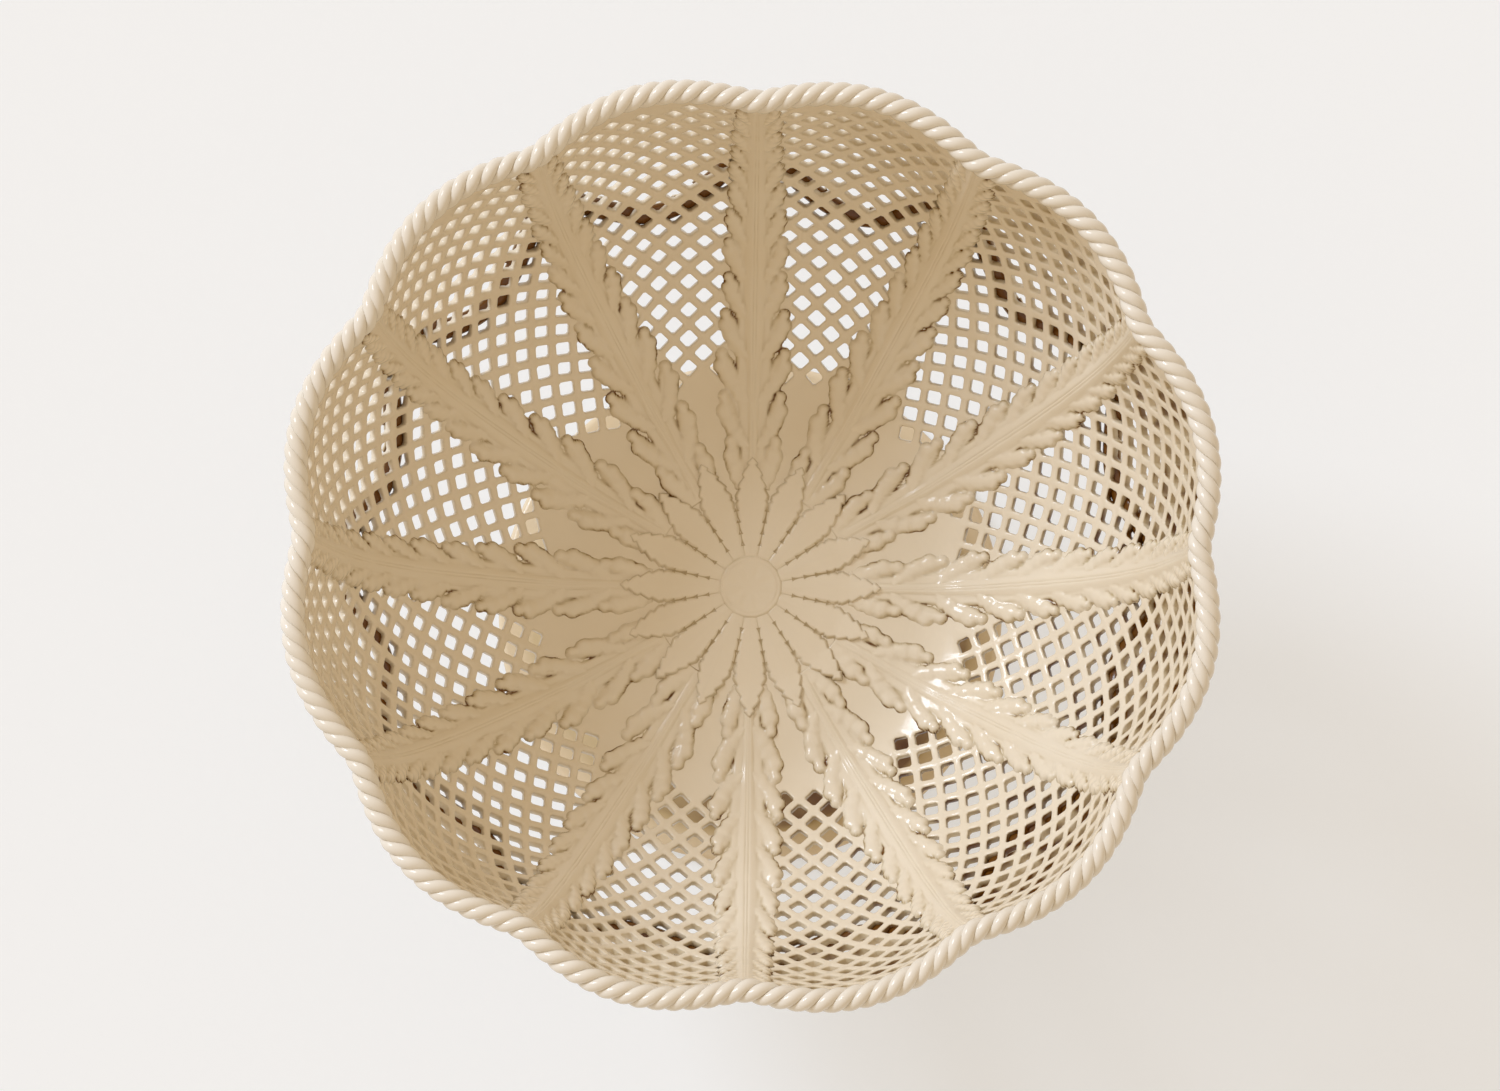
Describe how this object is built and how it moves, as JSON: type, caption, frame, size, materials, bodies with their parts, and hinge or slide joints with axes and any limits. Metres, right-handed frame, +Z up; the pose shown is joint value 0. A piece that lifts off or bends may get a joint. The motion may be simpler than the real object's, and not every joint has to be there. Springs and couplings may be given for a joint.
{
  "type": "footed bowl",
  "caption": "Pierced creamware bowl with a lobed rope rim, leaf ribs, a leaf rosette and a spreading hollow foot.",
  "frame": {"origin": "middle of the foot's resting ring, on the table", "axes": "+Z up along the bowl's axis; +X and +Y each run through a leaf rib"},
  "size_m": [0.267, 0.267, 0.1693],
  "materials": {
    "bowl_glaze": "clear lead glaze over cream earthenware",
    "relief_glaze": "clear lead glaze, yellower where it pools round the relief",
    "rim_glaze": "clear lead glaze, thin and pale on the twisted ridges",
    "foot_glaze": "clear lead glaze, wiped from the resting ring"
  },
  "bodies": {
    "root": {"bowl_floor": "bowl_glaze", "lower_lattice_01": "bowl_glaze", "lower_lattice_02": "bowl_glaze", "lower_lattice_03": "bowl_glaze", "lower_lattice_04": "bowl_glaze", "lower_lattice_05": "bowl_glaze", "lower_lattice_06": "bowl_glaze", "lower_lattice_07": "bowl_glaze", "lower_lattice_08": "bowl_glaze", "lower_lattice_09": "bowl_glaze", "lower_lattice_10": "bowl_glaze", "lower_lattice_11": "bowl_glaze", "lower_lattice_12": "bowl_glaze", "upper_lattice_01": "bowl_glaze", "upper_lattice_02": "bowl_glaze", "upper_lattice_03": "bowl_glaze", "upper_lattice_04": "bowl_glaze", "upper_lattice_05": "bowl_glaze", "upper_lattice_06": "bowl_glaze", "upper_lattice_07": "bowl_glaze", "upper_lattice_08": "bowl_glaze", "upper_lattice_09": "bowl_glaze", "upper_lattice_10": "bowl_glaze", "upper_lattice_11": "bowl_glaze", "upper_lattice_12": "bowl_glaze", "leaf_rib_01": "relief_glaze", "leaf_rib_02": "relief_glaze", "leaf_rib_03": "relief_glaze", "leaf_rib_04": "relief_glaze", "leaf_rib_05": "relief_glaze", "leaf_rib_06": "relief_glaze", "leaf_rib_07": "relief_glaze", "leaf_rib_08": "relief_glaze", "leaf_rib_09": "relief_glaze", "leaf_rib_10": "relief_glaze", "leaf_rib_11": "relief_glaze", "leaf_rib_12": "relief_glaze", "rosette": "relief_glaze", "rosette_boss": "relief_glaze", "swag_01": "relief_glaze", "swag_02": "relief_glaze", "swag_03": "relief_glaze", "swag_04": "relief_glaze", "swag_05": "relief_glaze", "swag_06": "relief_glaze", "swag_07": "relief_glaze", "swag_08": "relief_glaze", "swag_09": "relief_glaze", "swag_10": "relief_glaze", "swag_11": "relief_glaze", "swag_12": "relief_glaze", "rope_rim": "rim_glaze", "pedestal_foot": "foot_glaze"}
  },
  "joints": []
}
